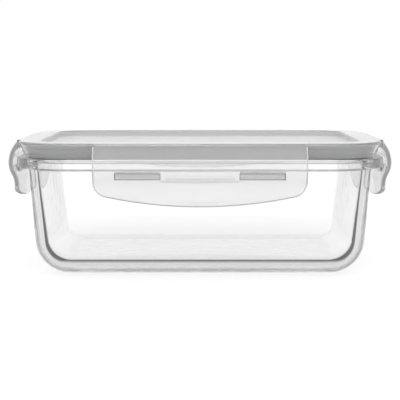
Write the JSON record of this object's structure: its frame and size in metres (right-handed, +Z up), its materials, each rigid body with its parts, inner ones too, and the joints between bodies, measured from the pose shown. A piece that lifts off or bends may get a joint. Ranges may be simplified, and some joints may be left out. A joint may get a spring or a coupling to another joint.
{
  "type": "bento lunch box",
  "caption": "Rectangular clear glass lunch box with a clear lid, a grey seal ring and hinged locking flaps on every side.",
  "frame": {"origin": "middle of the foot of the glass dish, on the surface it stands on", "axes": "+X along the length, +Y to the back, +Z up; the front faces -Y"},
  "size_m": [0.2046, 0.1526, 0.0704],
  "materials": {
    "pressed_glass": "polished",
    "clear_plastic": "glossy moulded",
    "silicone_seal": "matte"
  },
  "bodies": {
    "dish": {"glass_dish": "pressed_glass"},
    "lid": {"lid_panel": "clear_plastic", "seal_ring": "silicone_seal", "front_hinge_web": "clear_plastic", "back_hinge_web": "clear_plastic", "left_hinge_web": "clear_plastic", "right_hinge_web": "clear_plastic"},
    "flap_front": {"front_flap": "clear_plastic"},
    "flap_back": {"back_flap": "clear_plastic"},
    "flap_left": {"left_flap": "clear_plastic"},
    "flap_right": {"right_flap": "clear_plastic"}
  },
  "joints": [
    {"name": "lid_lift", "type": "slide", "parent": "dish", "child": "lid", "axis": [0, 0, 1], "range_m": [0, 0.09]},
    {"name": "front_flap_hinge", "type": "hinge", "parent": "lid", "child": "flap_front", "pos_m": [0, -0.0713, 0.06985], "axis": [-1, 0, 0], "range_deg": [-7, 165], "deforming": ["front_hinge_web"]},
    {"name": "back_flap_hinge", "type": "hinge", "parent": "lid", "child": "flap_back", "pos_m": [0, 0.0713, 0.06985], "axis": [1, 0, 0], "range_deg": [-7, 165], "deforming": ["back_hinge_web"]},
    {"name": "left_flap_hinge", "type": "hinge", "parent": "lid", "child": "flap_left", "pos_m": [-0.0973, 0, 0.06985], "axis": [0, 1, 0], "range_deg": [-7, 165], "deforming": ["left_hinge_web"]},
    {"name": "right_flap_hinge", "type": "hinge", "parent": "lid", "child": "flap_right", "pos_m": [0.0973, 0, 0.06985], "axis": [0, -1, 0], "range_deg": [-7, 165], "deforming": ["right_hinge_web"]}
  ]
}
